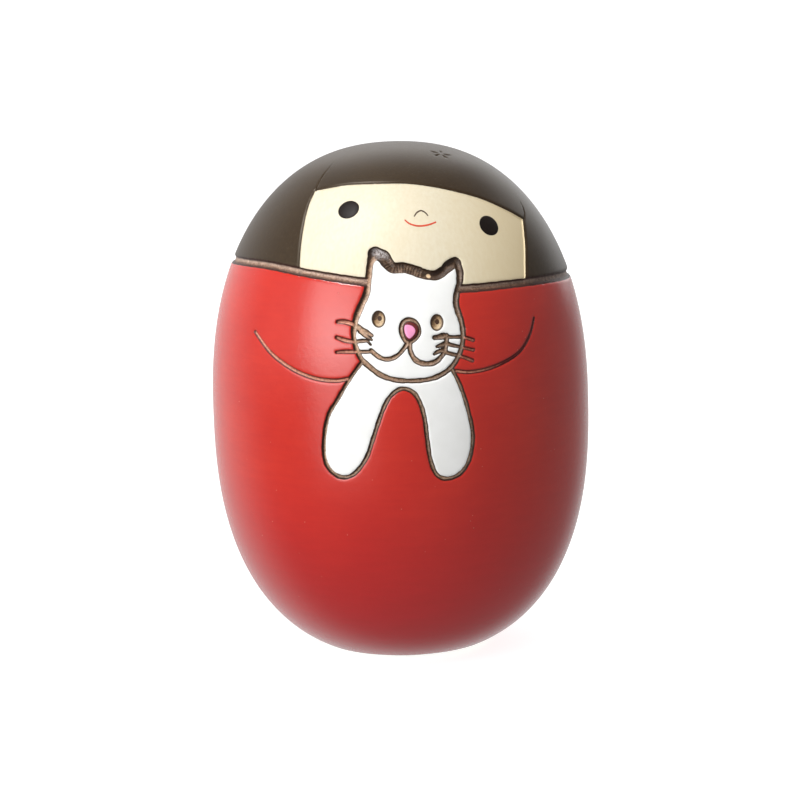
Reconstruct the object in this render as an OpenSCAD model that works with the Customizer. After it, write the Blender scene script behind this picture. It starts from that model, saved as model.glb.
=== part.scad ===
// Egg-shaped wooden kokeshi doll of a girl who holds a white cat.
// Two turned blocks meet on a skewed collar line and are joined by a glued dowel.
// Thin coats of lacquer and paint lie on the blocks. The carved lines part the coats.
// The origin is the centre of the flat foot. +Z is up and the face looks along -Y.

/* [Egg] */
// Largest diameter of the doll, over the lacquer
egg_d = 58; // [56:1:60]
// Height of the crown above the widest ring
crown_rise = 40.5; // [40:0.5:42]
// Depth of the belly below the widest ring, to where its curve would close
belly_drop = 39; // [38:0.5:40]
// Diameter of the flat foot
foot_d = 18; // [16:1:22]
// Fullness of the crown, where 2 is an ellipse and more is squarer
crown_power = 2.3; // [2.2:0.05:2.4]
// Fullness of the belly
belly_power = 2.47; // [2.37:0.05:2.57]

/* [Collar joint] */
// Height of the collar line on the doll's axis
collar_h = 59.6; // [59:0.1:60.2]
// Skew of the collar line, down towards +X, in degrees
collar_skew = 3.8; // [3:0.1:4.6]
// Width of the collar groove
collar_w = 1.3; // [0.9:0.1:1.5]
// Depth of the collar groove
collar_depth = 0.9; // [0.6:0.1:1.2]
// Diameter of the dowel in the neck
dowel_d = 14; // [10:1:18]
// Length of the dowel, half in each block
dowel_len = 26; // [20:1:28]
// Glue space past each end of the dowel
glue_gap = 0.8; // [0.4:0.1:1.5]

/* [Coats] */
// Thickness of the lacquer and paint coats
coat_t = 0.3; // [0.2:0.05:0.4]
// How far the eyes stand proud of the bare face
eye_rise = 0.2; // [0.1:0.05:0.25]
// Thickness of the painted mouth and nose lines
paint_t = 0.1; // [0.08:0.01:0.15]
// Height of the bare band above the foot
bare_band = 1; // [0.6:0.1:2]

/* [Carving] */
// Width of the groove round the cat
cat_line_w = 0.8; // [0.6:0.05:0.9]
// Width of the cat's mouth line
mouth_line_w = 0.6; // [0.4:0.05:0.7]
// Width of the girl's arm lines
arm_line_w = 0.5; // [0.4:0.05:0.7]
// Width of one whisker
whisker_w = 0.6; // [0.4:0.05:0.7]
// Depth that the carved lines reach into the wood below the coats
line_depth = 0.3; // [0.2:0.05:0.5]

/* [Hidden] */

WOOD = [0.90, 0.79, 0.60];
HAIR = [0.16, 0.12, 0.10];
ROBE = [0.74, 0.13, 0.11];
CHALK = [0.96, 0.96, 0.95];
PINK = [0.92, 0.52, 0.72];
INK = [0.09, 0.07, 0.07];
CORAL = [0.85, 0.33, 0.24];

egg_r = egg_d / 2;
wood_r = egg_r - coat_t;
foot_ratio = foot_d / 2 / wood_r;
// Height of the widest ring, which puts the cut foot at z = 0
ring_h = (belly_drop - coat_t) * pow(1 - pow(foot_ratio, belly_power), 1 / belly_power);
ARC_STEP = 5;
CURVE_STEPS = 3;
REACH = 40;
AIR = 1;
carve_floor = coat_t + line_depth;

// Front view outlines, as [x, z]. Each run is a smooth curve between two corners.
FRINGE = [[-11.9, 72.4], [-6, 73.4], [0, 73.5], [6.5, 72.6], [12.5, 70.8], [19, 67.2]];
CHEEK_RIGHT = [[19, 67.2], [19.1, 64], [18.8, 58]];
CHEEK_LEFT = [[-14.4, 58], [-14.3, 62.5], [-13.4, 68], [-11.9, 72.4]];

EAR_LEFT = [-3.5, 64.3];
EAR_RIGHT = [8.7, 62.6];
FOREHEAD = [EAR_LEFT, [-1, 62.3], [1.4, 62], [5, 60.9], [6.6, 61.3], EAR_RIGHT];
MUZZLE = [
    EAR_RIGHT, [8.8, 58.6], [8.4, 56.8], [9.3, 52.5], [8, 48.7], [3.6, 46.2], [-1.6, 46.6],
    [-5.4, 48.8], [-6.6, 52.5], [-5.2, 57], [-4.1, 60], EAR_LEFT
];
LEGS = [
    [-5, 49], [-9.4, 43.2], [-11.2, 38.5], [-11.1, 34.4], [-8.6, 32.1], [-5.9, 33.6],
    [-3.9, 38.2], [-2.1, 43], [0.8, 44.9], [3, 42.2], [3.7, 37], [4.5, 33], [6.8, 31.5],
    [9.6, 33.6], [10.3, 38.2], [9, 44.6], [7.6, 48]
];

ARM_LEFT = [[-21.2, 52.3], [-17.2, 48.4], [-12.2, 46.4], [-6, 46.5]];
ARM_RIGHT = [[19.9, 53.4], [17.7, 49.1], [12.7, 47.1], [8, 47.1]];
WHISKERS = [
    [[-8.7, 54.6], [-4, 52.7]], [[-8.9, 52.3], [-4, 52]], [[-9.1, 50.4], [-4.4, 50.5]],
    [[5.1, 52.2], [10.8, 51.6]], [[5.4, 51], [10.8, 50.1]], [[6.6, 50.5], [10.5, 48.6]]
];
CAT_MOUTH_LEFT = [[1.4, 51.4], [0.3, 50.4], [-1.9, 49.3], [-4.2, 50.4]];
CAT_MOUTH_RIGHT = [[1.4, 51.4], [2.4, 49.1], [4.5, 48.7], [6.5, 50.3]];
SMILE = [[1.4, 68.6], [3.2, 67.8], [5.8, 68.1]];
NOSE = [[2.7, 69.2], [3.7, 69.8], [4.7, 69.1]];

EYE_LEFT = [-7, 70.2];
EYE_RIGHT = [13.8, 67.1];
EYE_SIZE = [3, 2.4];
CAT_EYE_LEFT = [-2.9, 55];
CAT_EYE_RIGHT = [5.5, 54.3];
CAT_EYE_SIZE = [1.9, 2.3];
PUPIL_SIZE = [0.5, 0.6];
CAT_NOSE = [1.6, 53.4];
NOSE_RING_SIZE = [3.3, 4];
NOSE_PAD_SIZE = [1.7, 2.4];

// A smooth curve through a list of points
function blend(a, b, c, d, t) =
    0.5 * (2 * b + (c - a) * t + (2 * a - 5 * b + 4 * c - d) * t * t
        + (3 * b - a - 3 * c + d) * t * t * t);
function at(p, i) = p[max(0, min(len(p) - 1, i))];
function smooth(p) = [
    for (i = [0 : len(p) - 2], s = [0 : CURVE_STEPS - 1])
        blend(at(p, i - 1), p[i], p[i + 1], at(p, i + 2), s / CURVE_STEPS),
    p[len(p) - 1]
];
function open_end(p) = [for (i = [0 : len(p) - 2]) p[i]];

// The unit normal on the left of a path at point i
function turn(v) = [-v[1], v[0]] / norm(v);
function side(p, i) = turn(at(p, i + 1) - at(p, i - 1));
function ring_side(p, i) = turn(p[(i + 1) % len(p)] - p[(i + len(p) - 1) % len(p)]);
// A line of width w along an open path, and a closed path grown by d (it runs clockwise)
function stroke(p, w) = [
    for (i = [0 : len(p) - 1]) p[i] + side(p, i) * w / 2,
    for (i = [len(p) - 1 : -1 : 0]) p[i] - side(p, i) * w / 2
];
function grown(p, d) = [for (i = [0 : len(p) - 1]) p[i] + ring_side(p, i) * d];

function oval(centre, size) = [
    for (a = [0 : 20 : 340]) centre + [size[0] / 2 * cos(a), size[1] / 2 * sin(a)]
];

face_outline = concat(open_end(smooth(CHEEK_LEFT)), open_end(smooth(FRINGE)), smooth(CHEEK_RIGHT));
cat_head = concat(open_end(smooth(FOREHEAD)), open_end(smooth(MUZZLE)));
cat_legs = smooth(LEGS);

// One side of the egg's outline, from the foot up, sunk below the lacquer by inset
function egg_side(inset) =
    let (
        r = egg_r - inset,
        belly = belly_drop - inset,
        crown = crown_rise - inset,
        foot_turn = asin(pow(ring_h / belly, belly_power / 2)),
        bottom = [for (a = [0 : ARC_STEP : foot_turn - ARC_STEP / 2]) a]
    )
    concat(
        [[r * pow(cos(foot_turn), 2 / belly_power), 0]],
        [for (i = [len(bottom) - 1 : -1 : 0])
            [r * pow(cos(bottom[i]), 2 / belly_power),
                ring_h - belly * pow(sin(bottom[i]), 2 / belly_power)]],
        [for (a = [ARC_STEP : ARC_STEP : 90 - ARC_STEP])
            [r * pow(cos(a), 2 / crown_power), ring_h + crown * pow(sin(a), 2 / crown_power)]],
        [[0, ring_h + crown]]
    );

module egg(inset) {
    rotate_extrude($fn = 96) polygon(concat([[0, 0]], egg_side(inset)));
}

// Everything between two depths below the lacquer's surface
module skin(outer, inner) {
    difference() {
        egg(outer);
        egg(inner);
    }
}

// A front view outline, cut straight back to the doll's middle
module stencil(outline) {
    rotate([90, 0, 0]) linear_extrude(REACH) polygon(outline);
}

// The space from low to high over the collar line, square to it
module collar_slab(low, high) {
    translate([0, 0, collar_h]) rotate([0, collar_skew, 0])
        translate([-REACH, -REACH, low]) cube([2 * REACH, 2 * REACH, high - low]);
}

module cat_area(growth) {
    stencil(grown(cat_head, growth));
    stencil(grown(cat_legs, growth));
}

// What the carver takes out of the wood along the collar
module collar_groove() {
    difference() {
        collar_slab(-collar_w / 2, collar_w / 2);
        egg(collar_depth);
        cat_area(cat_line_w / 2);
    }
}

module cat_face_cuts() {
    stencil(oval(CAT_EYE_LEFT, CAT_EYE_SIZE));
    stencil(oval(CAT_EYE_RIGHT, CAT_EYE_SIZE));
    stencil(oval(CAT_NOSE, NOSE_RING_SIZE));
    stencil(stroke(smooth(CAT_MOUTH_LEFT), mouth_line_w));
    stencil(stroke(smooth(CAT_MOUTH_RIGHT), mouth_line_w));
}

module whisker_cuts() {
    for (whisker = WHISKERS) stencil(stroke(whisker, whisker_w));
}

module arm_cuts() {
    stencil(stroke(smooth(ARM_LEFT), arm_line_w));
    stencil(stroke(smooth(ARM_RIGHT), arm_line_w));
}

// What the carver takes out of the wood below the coats
module carved_lines() {
    difference() {
        union() {
            difference() {
                cat_area(cat_line_w / 2);
                cat_area(-cat_line_w / 2);
            }
            cat_face_cuts();
            whisker_cuts();
            arm_cuts();
        }
        egg(carve_floor);
    }
}

module dowel_hole() {
    hole_len = dowel_len + 2 * glue_gap;
    translate([0, 0, collar_h - hole_len / 2]) cylinder(h = hole_len, d = dowel_d, $fn = 64);
}

module head() {
    color(WOOD) difference() {
        intersection() {
            egg(coat_t);
            collar_slab(0, REACH);
        }
        collar_groove();
        carved_lines();
        dowel_hole();
    }
}

module body() {
    color(WOOD) difference() {
        intersection() {
            egg(coat_t);
            collar_slab(-2 * REACH, 0);
        }
        collar_groove();
        carved_lines();
        dowel_hole();
    }
}

module neck_dowel() {
    color(WOOD) translate([0, 0, collar_h - dowel_len / 2])
        cylinder(h = dowel_len, d = dowel_d, $fn = 64);
}

// The hair ends in a rounded fringe and leaves the face bare
module hair_lacquer() {
    color(HAIR) difference() {
        intersection() {
            skin(0, coat_t);
            collar_slab(collar_w / 2, REACH);
        }
        stencil(face_outline);
    }
}

module robe_lacquer() {
    color(ROBE) difference() {
        intersection() {
            skin(0, coat_t);
            collar_slab(-2 * REACH, -collar_w / 2);
        }
        translate([-REACH, -REACH, -AIR]) cube([2 * REACH, 2 * REACH, bare_band + AIR]);
        cat_area(cat_line_w / 2);
        whisker_cuts();
        arm_cuts();
    }
}

module cat_paint() {
    color(CHALK) difference() {
        intersection() {
            skin(0, coat_t);
            union() {
                stencil(grown(cat_head, -cat_line_w / 2));
                difference() {
                    stencil(grown(cat_legs, -cat_line_w / 2));
                    stencil(grown(cat_head, cat_line_w / 2));
                }
            }
        }
        cat_face_cuts();
        whisker_cuts();
    }
}

module cat_nose() {
    color(PINK) intersection() {
        skin(paint_t, carve_floor);
        stencil(oval(CAT_NOSE, NOSE_PAD_SIZE));
    }
}

module cat_pupils() {
    color(INK) intersection() {
        skin(carve_floor - paint_t, carve_floor);
        union() {
            stencil(oval(CAT_EYE_LEFT, PUPIL_SIZE));
            stencil(oval(CAT_EYE_RIGHT, PUPIL_SIZE));
        }
    }
}

// A mark that lies on the bare wood of the face and stands rise above it
module face_mark(outline, rise) {
    intersection() {
        skin(coat_t - rise, coat_t);
        stencil(outline);
    }
}

module left_eye() {
    color(INK) face_mark(oval(EYE_LEFT, EYE_SIZE), eye_rise);
}

module right_eye() {
    color(INK) face_mark(oval(EYE_RIGHT, EYE_SIZE), eye_rise);
}

module nose_line() {
    color(INK) face_mark(stroke(smooth(NOSE), 0.2), paint_t);
}

module smile_line() {
    color(CORAL) face_mark(stroke(smooth(SMILE), 0.3), paint_t);
}

head();
body();
neck_dowel();
hair_lacquer();
robe_lacquer();
cat_paint();
cat_nose();
cat_pupils();
left_eye();
right_eye();
nose_line();
smile_line();
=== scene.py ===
"""Egg-shaped kokeshi doll with a white cat: its carved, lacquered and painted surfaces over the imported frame.

Lengths are in millimetres until a mesh is made. The surface is the turned egg, pushed inwards by a depth that
the carving gives at each point. It is cut along the edges of the coats and the carved lines, so each coat,
each carved line and each block of wood is a closed piece of its own.
"""

import math

import bmesh
import bpy
import numpy as np
from mathutils import Matrix, Vector


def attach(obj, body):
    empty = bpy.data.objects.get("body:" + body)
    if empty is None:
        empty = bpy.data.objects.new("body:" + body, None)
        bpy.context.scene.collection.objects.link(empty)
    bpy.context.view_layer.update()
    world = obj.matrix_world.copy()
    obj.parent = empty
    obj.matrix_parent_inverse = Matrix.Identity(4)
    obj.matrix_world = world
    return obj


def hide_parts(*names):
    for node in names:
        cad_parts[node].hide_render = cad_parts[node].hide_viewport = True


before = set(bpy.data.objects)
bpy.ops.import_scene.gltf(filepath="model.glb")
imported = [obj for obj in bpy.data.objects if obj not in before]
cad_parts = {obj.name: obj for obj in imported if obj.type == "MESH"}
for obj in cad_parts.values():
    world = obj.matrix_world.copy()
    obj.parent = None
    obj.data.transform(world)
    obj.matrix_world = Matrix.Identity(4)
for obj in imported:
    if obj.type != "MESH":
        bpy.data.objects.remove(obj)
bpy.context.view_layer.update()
MM = 0.001

# ---- the turned egg, as in the design

EGG_R = 29.0
CROWN_RISE = 40.5
BELLY_DROP = 39.0
FOOT_R = 9.0
CROWN_POWER = 2.3
BELLY_POWER = 2.47
COAT = 0.3
RING_H = (BELLY_DROP - COAT) * (1 - (FOOT_R / (EGG_R - COAT)) ** BELLY_POWER) ** (1 / BELLY_POWER)
RING = np.array([0.0, 0.0, RING_H])
BARE_BAND = 1.0  # the height of the bare wood above the foot

COLLAR_AXIS_H = 59.6  # where the joint between the blocks crosses the doll's axis
COLLAR_SKEW = 3.8  # degrees that the joint is tilted
DOWEL_R = 7.0
DOWEL_HOLE = 27.6  # the length of the hole through both blocks


def powers(z):
    """The rise and the fullness of the curve at heights z over the widest ring."""
    above = z >= 0
    return np.where(above, CROWN_RISE, BELLY_DROP), np.where(above, CROWN_POWER, BELLY_POWER)


def on_egg(points):
    """The points moved out or in to the egg, along the line to the middle of its widest ring."""
    v = points - RING
    radius = np.hypot(v[:, 0], v[:, 1])
    rise, power = powers(v[:, 2])
    size = ((radius / EGG_R) ** power + (np.abs(v[:, 2]) / rise) ** power) ** (-1 / power)
    return RING + v * size[:, None]


def unit(vectors):
    """The vectors at a length of 1."""
    return vectors / np.linalg.norm(vectors, axis=1)[:, None]


def egg_normal(points):
    v = points - RING
    radius = np.maximum(np.hypot(v[:, 0], v[:, 1]), 1e-9)
    rise, power = powers(v[:, 2])
    outward = (radius / EGG_R) ** (power - 1) / EGG_R
    upward = np.sign(v[:, 2]) * (np.abs(v[:, 2]) / rise) ** (power - 1) / rise
    return unit(np.stack([v[:, 0] / radius * outward, v[:, 1] / radius * outward, upward], 1))


def egg_radius(height):
    z = np.asarray(height, float) - RING_H
    rise, power = powers(z)
    return EGG_R * (1 - (np.abs(z) / rise) ** power) ** (1 / power)


def front(points):
    """Points of the front view, as x and height, on the egg."""
    p = np.asarray(points, float)
    radius = egg_radius(p[:, 1])
    return np.stack([p[:, 0], -np.sqrt(np.maximum(radius**2 - p[:, 0] ** 2, 0)), p[:, 1]], 1)


def around(angles, heights):
    """Points at an angle from the front, in degrees, and a height."""
    a = np.radians(angles)
    radius = egg_radius(heights)
    return np.stack([radius * np.sin(a), -radius * np.cos(a), heights], 1)


# ---- curves


def smooth(points, steps=8, closed=False):
    """A Catmull-Rom curve through the points."""
    p = np.asarray(points, float)
    count = len(p) if closed else len(p) - 1
    out = []
    for i in range(count):
        if closed:
            a, b, c, d = p[i - 1], p[i], p[(i + 1) % len(p)], p[(i + 2) % len(p)]
        else:
            a, b, c, d = p[max(i - 1, 0)], p[i], p[i + 1], p[min(i + 2, len(p) - 1)]
        square, cube = 2 * a - 5 * b + 4 * c - d, 3 * b - a - 3 * c + d
        for t in np.arange(steps) / steps:
            out.append(0.5 * (2 * b + (c - a) * t + square * t**2 + cube * t**3))
    if not closed:
        out.append(p[-1])
    return np.array(out)


REACH = 3.5  # distances over this are not worked out


def nearest(points, line, reach=REACH):
    """How far each point is from a polyline, and where along it as an index. Past reach it is just reach."""
    dist = np.full(len(points), reach)
    place = np.zeros(len(points))
    low, high = line.min(0) - reach, line.max(0) + reach
    close = np.flatnonzero(np.all((points > low) & (points < high), axis=1))
    a, ab = line[:-1], line[1:] - line[:-1]
    length2 = np.maximum((ab**2).sum(1), 1e-12)
    for part in np.array_split(close, max(1, len(close) * len(a) // 400_000)):
        if not len(part):
            continue
        ap = points[part][:, None, :] - a[None]
        t = np.clip((ap * ab).sum(2) / length2, 0, 1)
        d2 = ((ap - t[..., None] * ab) ** 2).sum(2)
        i = d2.argmin(1)
        row = np.arange(len(part))
        dist[part] = np.minimum(np.sqrt(d2[row, i]), reach)
        place[part] = i + t[row, i]
    return dist, place


def inside(points, outline):
    """Which points of the front half lie inside an outline of the front view."""
    x, h = points[:, 0], points[:, 2]
    found = np.zeros(len(points), bool)
    for (x0, h0), (x1, h1) in zip(outline, np.roll(outline, -1, 0)):
        if h0 == h1:
            continue
        crosses = (h0 > h) != (h1 > h)
        found ^= crosses & (x < (x1 - x0) * (h - h0) / (h1 - h0) + x0)
    return found & (points[:, 1] < 0)


def signed(points, outline):
    """The distance to a closed outline of the front view, positive inside."""
    dist, _ = nearest(points, front(np.vstack([outline, outline[:1]])))
    return np.where(inside(points, outline), dist, -dist)


def ease(x):
    """From 0 to 1 as x goes from 0 to 1, level at both ends."""
    t = np.clip(x, 0, 1)
    return t * t * (3 - 2 * t)


# ---- the drawing, in the front view

FRINGE = [
    [-11.9, 72.4], [-9, 73], [-6, 73.4], [0, 73.5], [3.5, 73.2], [7.8, 72.3], [12.5, 70.8],
    [16.3, 68.9], [19, 67.2],
]
CHEEK_RIGHT = [[19, 67.2], [19.1, 64], [19, 61], [18.8, 57]]
CHEEK_LEFT = [[-14.4, 57], [-14.3, 62], [-13.9, 66], [-13, 70], [-11.9, 72.4]]

EAR_LEFT = [-3.2, 64.2]
EAR_RIGHT = [8.6, 62.5]
FOREHEAD = [
    EAR_LEFT, [-2.05, 63.75], [-1.4, 62.85], [-0.6, 62.15], [1, 62.1], [2.4, 61.7], [4, 61.1],
    [5.6, 60.88], [6.8, 61.46], [7.7, 62.16], EAR_RIGHT,
]
FOREHEAD_W = [2.2, 2.1, 1.85, 1.85, 1.75, 1.78, 1.72, 1.6, 1.55, 1.7, 1.8]
MUZZLE = [
    EAR_RIGHT, [9.1, 61.2], [9, 59.6], [8.5, 58.1], [8.35, 56.8], [8.6, 55.6], [9, 54.4],
    [9.25, 52.7], [9.1, 50.9], [8.4, 49.1], [7.2, 47.6], [5.4, 46.6], [3.6, 46.2], [1.2, 46.15],
    [-0.9, 46.4], [-2.8, 47.1], [-4.4, 48.3], [-5.6, 49.5], [-6.3, 51.2], [-6.55, 52.9], [-6.2, 54.9],
    [-5.4, 56.8], [-4.5, 58.7], [-4.2, 60.8], [-3.9, 62.8], EAR_LEFT,
]
MUZZLE_W = [
    1.75, 1.4, 1.1, 0.95, 1, 0.95, 0.92, 0.86, 0.8, 0.78, 0.8, 0.8, 0.72, 0.72, 0.8, 0.85, 0.85, 0.8,
    0.75, 0.8, 1, 1.1, 1.05, 1.05, 1.15, 2,
]
MUZZLE_DEPTH = [0.6, 0.5, 0.5, 0.5, 0.5, 0.5, 0.5, 0.6]
MUZZLE_CHAR = [1, 0.75, 0.65, 0.55, 0.5, 0.35, 0.3, 0.25, 0.25, 0.25, 0.25, 0.2, 0.2, 0.35, 0.4, 0.6]
LEGS = [
    [-5.6, 48.9], [-7.4, 46.5], [-9.3, 43.4], [-10.6, 41.2], [-11.3, 38.2], [-11.4, 34.9], [-10.5, 32.9],
    [-8.8, 32], [-7, 32.6], [-5.2, 34.9], [-4.1, 37.8], [-3.2, 40.4], [-2.2, 42.8], [-1.1, 44.3],
    [0.3, 45], [1.8, 44.4], [2.7, 42.9], [3.3, 40.6], [3.6, 37.6], [4, 34.5], [4.9, 32.2],
    [6.6, 31.5], [8.6, 32.3], [9.9, 34.4], [10.4, 37.6], [9.9, 41], [8.9, 44.6], [7.7, 47.4],
]
LEGS_W = [0.6, 0.66, 0.66, 0.64, 0.66, 0.66, 0.64, 0.66, 0.62]
LEGS_INSET = 0.08  # how far the middle of the carved line lies inside the white
COLLAR_W = [1.3, 1.3, 1.3, 1.3, 1.45, 1.3, 1.3, 1.3, 1.3]
ARM_LEFT = [
    [-21.2, 52.3], [-19.2, 49.9], [-17.2, 48.4], [-14.9, 47.2], [-12.2, 46.4], [-9.5, 46.2], [-7.6, 46.5],
]
ARM_RIGHT = [
    [19.9, 53.4], [19.2, 51.2], [17.7, 49.1], [15.5, 47.9], [12.7, 47.1], [10, 46.9], [8.2, 47.2],
]

ARM_LEFT_W = [0.5, 0.6, 0.6, 0.62, 0.62]
ARM_RIGHT_W = [0.42, 0.5, 0.52, 0.55, 0.58]

# Each stroke's points and its widths, first those across the cat's cheeks, then their ends in the robe
CHEEK_STROKES = [
    ([[-6.4, 54.2], [-5.3, 53.45], [-4.6, 53.1], [-3.9, 52.7]], [0.85, 0.95, 0.9, 0.5]),
    ([[-5.6, 53.3], [-4.9, 52.75], [-4.4, 52.4], [-3.95, 52.1]], [0.7, 0.6, 0.4]),
    ([[-6.4, 51.8], [-5.3, 51.95], [-4.6, 51.9], [-4.1, 51.4]], [0.65, 0.6, 0.35]),
    ([[-6.2, 50.4], [-5.2, 50.4], [-4.1, 50.4]], [0.6, 0.6, 0.6]),
    ([[5.1, 52.15], [5.8, 52.2], [6.5, 52.3], [7.4, 52.1], [9.2, 52]], [0.75, 0.9, 0.95, 0.6, 0.55]),
    ([[5.4, 50.85], [6.1, 51.05], [6.8, 51.2], [7.7, 50.9], [9.2, 50.5]], [0.45, 0.7, 0.8, 0.65, 0.5]),
    ([[5, 49.8], [5.5, 50.1], [6.3, 50.25], [7, 49.85], [8.8, 49.3]], [0.5, 0.65, 0.75, 0.7, 0.6]),
    ([[6.85, 52.3], [6.8, 51.4], [6.6, 50.2]], [0.8, 0.7, 0.8]),
]
ROBE_STROKES = [
    ([[-8.8, 54.6], [-7.7, 54.6], [-6.4, 54.2]], [0.6, 0.75, 0.75]),
    ([[-9, 52.4], [-7.8, 52], [-6.4, 51.8]], [0.55, 0.7, 0.65]),
    ([[-9.1, 50.3], [-7.8, 50.4], [-6.2, 50.4]], [0.45, 0.6, 0.6]),
    ([[9, 52.05], [9.9, 51.75], [10.7, 51.4]], [0.5, 0.55, 0.6]),
    ([[9, 50.55], [9.9, 50.25], [10.7, 50]], [0.5, 0.5, 0.55]),
    ([[8.6, 49.35], [9.6, 48.95], [10.5, 48.5]], [0.5, 0.55, 0.6]),
]
MOUTH_LEFT = [
    [1.1, 51.4], [0.5, 50.6], [-0.2, 49.9], [-1.2, 49.4], [-2.2, 49.35], [-3.1, 49.75], [-4.1, 50.6],
]
MOUTH_RIGHT = [[1.5, 51.4], [1.6, 50.3], [2.2, 49.2], [3.2, 48.6], [4.4, 48.5], [5.4, 48.85], [6.3, 49.7]]

# Thin knife cuts in the hair, out from the corners of the fringe, and a small blossom pressed into the crown
FRINGE_CUTS = [  # points, widths and depths
    (
        [[-11.8, 72.35], [-11.3, 73.4], [-10.6, 74.4], [-9.2, 75.9]],
        [0.3, 0.28, 0.24, 0.12], [0.22, 0.22, 0.16, 0.04],
    ),
    ([[19.1, 67.1], [19.2, 68.2], [18.6, 69.6]], [0.3, 0.26, 0.12], [0.22, 0.18, 0.05]),
]
BLOSSOM = (7, 76.8)
BLOSSOM_R = 1.5
PETALS = 5
PETAL = [0.28, 0.65, 1]  # how far out a petal's points lie, of the blossom's radius
PETAL_W = [0.25, 0.6, 0.45]
PETAL_DEPTH = [0.08, 0.16, 0.1]
PETAL_TURN = 0.3  # radians that the first petal is turned from the side

NOSE_OUTER = [
    [1.5, 55.2], [2.4, 54.9], [3, 54.2], [3.25, 53.3], [3.1, 52.5], [2.5, 51.8], [1.6, 51.3],
    [0.9, 51.4], [0.4, 52], [0.05, 52.8], [-0.05, 53.6], [0.2, 54.5], [0.8, 55.05],
]
NOSE_GROUND = [
    [1.5, 54.5], [2.2, 54.3], [2.7, 53.8], [2.75, 53.2], [2.4, 52.5], [1.6, 51.95], [1.05, 52.2],
    [0.75, 53], [0.7, 53.8], [1, 54.35],
]
NOSE_PINK = [
    [1.4, 54.1], [2, 53.85], [2.35, 53.3], [2.15, 52.7], [1.6, 52.2], [1.2, 52.35], [0.9, 52.9],
    [0.8, 53.6], [0.95, 54.05],
]

# Angle from the front in degrees, and height, round the collar
COLLAR = [
    (-170, 60), (-140, 60.7), (-115, 61.1), (-90, 61.2), (-70, 61.7), (-50, 61.9), (-30, 61.2), (-12, 60.3),
    (5, 59.5), (20, 58.8), (40, 58.7), (60, 58.4), (90, 57.8), (120, 58), (150, 58.8), (170, 59.5),
]


def collar_height(points):
    """The height of the collar line at each point's angle round the doll."""
    turn = smooth(COLLAR)
    wrap = np.vstack([turn[-1] - [360, 0], turn, turn[0] + [360, 0]])
    return np.interp(np.degrees(np.arctan2(points[:, 0], -points[:, 1])), wrap[:, 0], wrap[:, 1])


def along_line(values, count):
    """Values spread evenly along a line of count points, with straight steps between the given ones."""
    values = np.atleast_1d(values)
    return np.interp(np.linspace(0, 1, count), np.linspace(0, 1, len(values)), values)


# How far the hand wavers, radians per millimetre, and which coordinate of the line's start shifts it
WAVERS = [(0.022, 2.3, 0), (0.018, 5.1, 2)]


def carved(kind, path, width, depth, char, chatter=None):
    """A carved line: its points on the egg, and at each its half width, its depth and how dark it is.

    Its path is on the egg or in the front view. A hand cut it, so all but the lines in the robe waver.
    Chatter is the stretch, in millimetres along the line, that has the gouge's marks across it."""
    line = path if len(path[0]) == 3 else front(path)
    travel = np.append(0, np.cumsum(np.linalg.norm(np.diff(line, axis=0), axis=1)))
    waver = sum(size * np.sin(travel * pace + line[0, axis]) for size, pace, axis in WAVERS)
    return {
        "kind": kind,
        "line": line,
        "travel": travel,
        "half": 0.5 * along_line(width, len(line)) + waver * (kind != "robe"),
        "depth": along_line(depth, len(line)),
        "char": along_line(char, len(line)),
        "chatter": chatter,
    }


def inset(outline, by):
    """A line that turns anticlockwise, moved by millimetres to its left, which is its inside."""
    along = np.gradient(outline, axis=0)
    return outline + unit(np.column_stack([-along[:, 1], along[:, 0]])) * by


face_outline = np.vstack([smooth(CHEEK_LEFT)[:-1], smooth(FRINGE)[:-1], smooth(CHEEK_RIGHT)])
head_outline = np.vstack([smooth(FOREHEAD)[:-1], smooth(MUZZLE)[:-1]])
legs_outline = smooth(LEGS)
nose_outer = smooth(NOSE_OUTER, closed=True)
nose_ground = smooth(NOSE_GROUND, closed=True)

angles = np.arange(-180, 181, 1.5)
collar_line = around(angles, collar_height(around(angles, np.full(len(angles), COLLAR_AXIS_H))))
LINES = [  # kind, points, widths, depths, how dark
    carved("collar", collar_line, COLLAR_W, [0.5, 0.32, 0.6, 0.32, 0.5], [0.5, 0.5, 0.3, 0.2, 0.7, 0.6, 0.5]),
    carved("cat", smooth(FOREHEAD), FOREHEAD_W, 0.62, 1.0, chatter=(2.0, 8.0)),
    carved("cat", smooth(MUZZLE), MUZZLE_W, MUZZLE_DEPTH, MUZZLE_CHAR),
    carved("cat", inset(legs_outline, LEGS_INSET), LEGS_W, 0.42, 0.3),
    carved("robe", smooth(ARM_LEFT), ARM_LEFT_W, [0.2, 0.3, 0.3], 0.1),
    carved("robe", smooth(ARM_RIGHT), ARM_RIGHT_W, [0.15, 0.28, 0.3], [1.2, 1.2, 1.0, 0.2, 0.0]),
    carved("cat", smooth(MOUTH_LEFT), [0.7, 0.7, 0.75, 0.7], 0.4, 0.1),
    carved("cat", smooth(MOUTH_RIGHT), [0.7, 0.8, 0.88, 0.85, 0.75], 0.42, 0.25),
]
STROKE_DEPTH = 0.34
LEFT_CHAR, RIGHT_CHAR = 0.2, 0.45
for kind, strokes in (("cat", CHEEK_STROKES), ("robe", ROBE_STROKES)):
    for stroke, widths in strokes:
        darkness = LEFT_CHAR if stroke[0][0] < 0 else RIGHT_CHAR
        LINES.append(carved(kind, smooth(stroke), widths, STROKE_DEPTH, darkness))

CHATTER_STEP = 0.42  # between the marks that the gouge left across the cat's forehead
CHATTER = 0.07  # how much deeper they are
CHATTER_PALE = 0.3  # how much paler the raised parts between the gouge's marks are

CHIP = (4.6, 60.95)  # where a flake of bare wood shows in the scorched forehead line
CHIP_R = 0.38
SHEEN_SPOT = (-2.3, 64.7)  # where a grey-white painted sheen lies on the dark forehead line
SHEEN_SPOT_R = 1.7

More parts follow.
